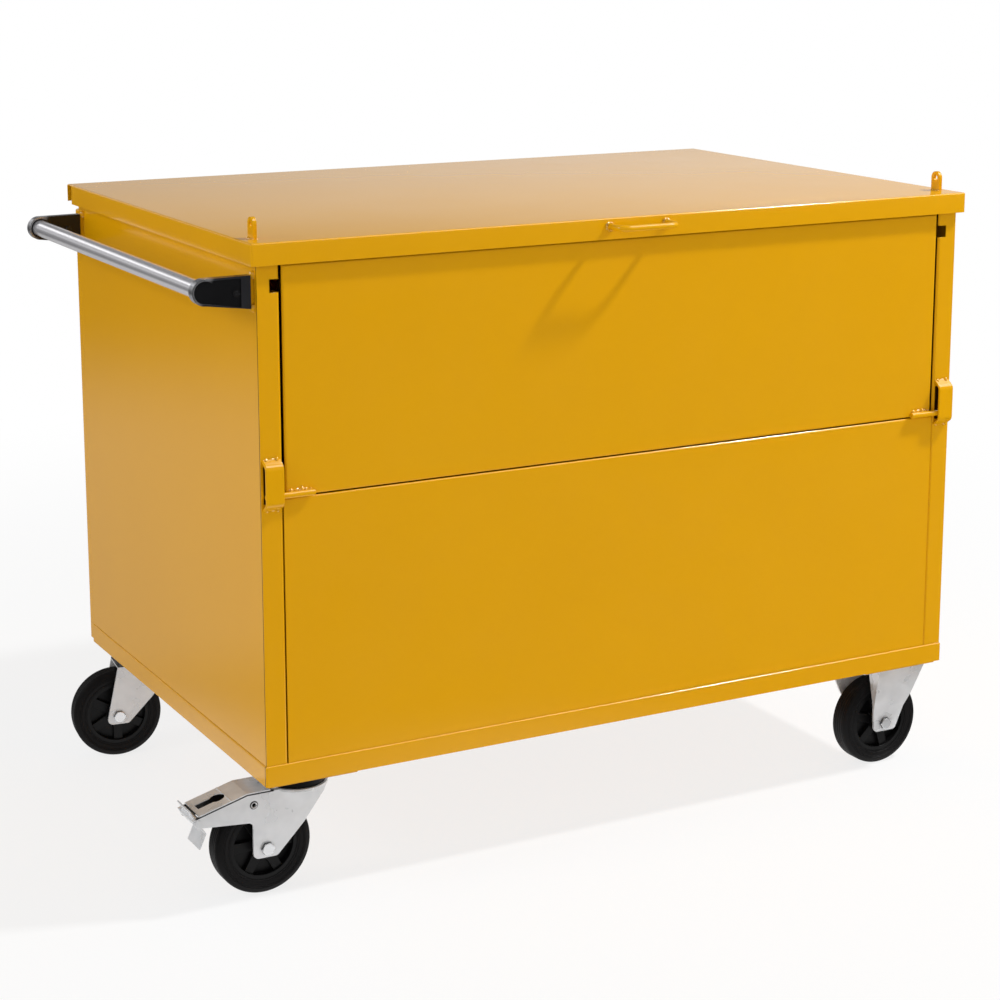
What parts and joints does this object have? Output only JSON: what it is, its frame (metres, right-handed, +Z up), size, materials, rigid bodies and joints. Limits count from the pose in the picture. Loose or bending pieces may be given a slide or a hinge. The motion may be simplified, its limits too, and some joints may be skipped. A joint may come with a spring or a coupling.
{
  "type": "lidded box trolley",
  "caption": "Painted sheet steel box trolley with a hinged lid, a front flap that lifts and folds down, a tubular push handle, and swivel and fixed castors with a brake.",
  "frame": {"origin": "on the floor, below the middle of the trolley's outer box", "axes": "+X along the box away from the push handle, -Y towards the flap's side, +Z up"},
  "size_m": [1.4166, 0.909, 1.073],
  "materials": {
    "yellow_paint": "glossy powder coat",
    "zinc_steel": "bright zinc plate",
    "polished_tube": "polished",
    "black_plastic": "satin moulded",
    "bracket_plastic": "smooth moulded",
    "black_steel": "black oxide",
    "tyre_rubber": "matt"
  },
  "bodies": {
    "box": {"axle_bolts_right": "zinc_steel", "axle_nuts_right": "zinc_steel", "axle_sleeves_right": "zinc_steel", "back_panel": "yellow_paint", "base_tray": "yellow_paint", "castor_plate_bolts": "zinc_steel", "castor_rail_left": "yellow_paint", "castor_rail_right": "yellow_paint", "fixed_bracket_front": "zinc_steel", "fixed_bracket_rear": "zinc_steel", "flap_strap_left": "yellow_paint", "flap_strap_right": "yellow_paint", "front_post_left": "yellow_paint", "front_post_right": "yellow_paint", "handle_bolts": "black_steel", "handle_bracket_front": "bracket_plastic", "handle_bracket_rear": "bracket_plastic", "handle_tab_front": "yellow_paint", "handle_tab_rear": "yellow_paint", "hinge_pins": "zinc_steel", "hinge_wall_leaves": "yellow_paint", "kingpin_front": "zinc_steel", "kingpin_rear": "zinc_steel", "left_side_panel": "yellow_paint", "lower_front_panel": "yellow_paint", "push_handle_tube": "polished_tube", "right_side_panel": "yellow_paint", "swivel_balls": "zinc_steel", "swivel_plate_front": "zinc_steel", "swivel_plate_rear": "zinc_steel"},
    "lid": {"lid_panel": "yellow_paint", "lid_handle": "yellow_paint", "lid_lug_left": "yellow_paint", "lid_lug_right": "yellow_paint", "hinge_lid_leaves": "yellow_paint"},
    "flap_rods": {"flap_rod_left": "yellow_paint", "flap_rod_right": "yellow_paint"},
    "flap": {"flap_panel": "yellow_paint"},
    "swivel_front": {"swivel_fork_front": "zinc_steel", "swivel_seal_front": "black_plastic", "axle_sleeve_left_front": "zinc_steel", "axle_bolt_left_front": "zinc_steel", "axle_nut_left_front": "zinc_steel", "brake_leaf": "zinc_steel", "brake_eyelets": "zinc_steel", "lever_pin": "zinc_steel"},
    "swivel_rear": {"swivel_fork_rear": "zinc_steel", "swivel_seal_rear": "black_plastic", "axle_sleeve_left_rear": "zinc_steel", "axle_bolt_left_rear": "zinc_steel", "axle_nut_left_rear": "zinc_steel"},
    "brake_lever": {"brake_lever": "zinc_steel"},
    "wheel_left_front": {"tyre_left_front": "tyre_rubber", "wheel_rim_left_front": "black_plastic"},
    "wheel_left_rear": {"tyre_left_rear": "tyre_rubber", "wheel_rim_left_rear": "black_plastic"},
    "wheel_right_front": {"tyre_right_front": "tyre_rubber", "wheel_rim_right_front": "black_plastic"},
    "wheel_right_rear": {"tyre_right_rear": "tyre_rubber", "wheel_rim_right_rear": "black_plastic"}
  },
  "joints": [
    {"name": "lid_hinge", "type": "hinge", "parent": "box", "child": "lid", "pos_m": [0.04826, 0.4495, 1.003], "axis": [-1, 0, 0], "range_deg": [0, 105]},
    {"name": "flap_lift", "type": "slide", "parent": "box", "child": "flap_rods", "axis": [0, 0, 1], "range_m": [0, 0.03]},
    {"name": "flap_fold", "type": "hinge", "parent": "flap_rods", "child": "flap", "pos_m": [0.04826, -0.4068, 0.65645], "axis": [1, 0, 0], "range_deg": [0, 181]},
    {"name": "swivel_front", "type": "hinge", "parent": "box", "child": "swivel_front", "pos_m": [-0.51974, -0.3235, 0.15], "axis": [0, 0, 1], "continuous": true},
    {"name": "swivel_rear", "type": "hinge", "parent": "box", "child": "swivel_rear", "pos_m": [-0.51974, 0.3545, 0.15], "axis": [0, 0, 1], "continuous": true},
    {"name": "brake_pedal", "type": "hinge", "parent": "swivel_front", "child": "brake_lever", "pos_m": [-0.69674, -0.3235, 0.14346], "axis": [0, -1, 0], "range_deg": [0, 15]},
    {"name": "wheel_left_front_spin", "type": "hinge", "parent": "swivel_front", "child": "wheel_left_front", "pos_m": [-0.58274, -0.3235, 0.08], "axis": [0, 1, 0], "continuous": true},
    {"name": "wheel_left_rear_spin", "type": "hinge", "parent": "swivel_rear", "child": "wheel_left_rear", "pos_m": [-0.5822, 0.36272, 0.08], "axis": [0.1305, 0.9914, 0], "continuous": true},
    {"name": "wheel_right_front_spin", "type": "hinge", "parent": "box", "child": "wheel_right_front", "pos_m": [0.61626, -0.3235, 0.08], "axis": [0, 1, 0], "continuous": true},
    {"name": "wheel_right_rear_spin", "type": "hinge", "parent": "box", "child": "wheel_right_rear", "pos_m": [0.61626, 0.3545, 0.08], "axis": [0, 1, 0], "continuous": true}
  ]
}
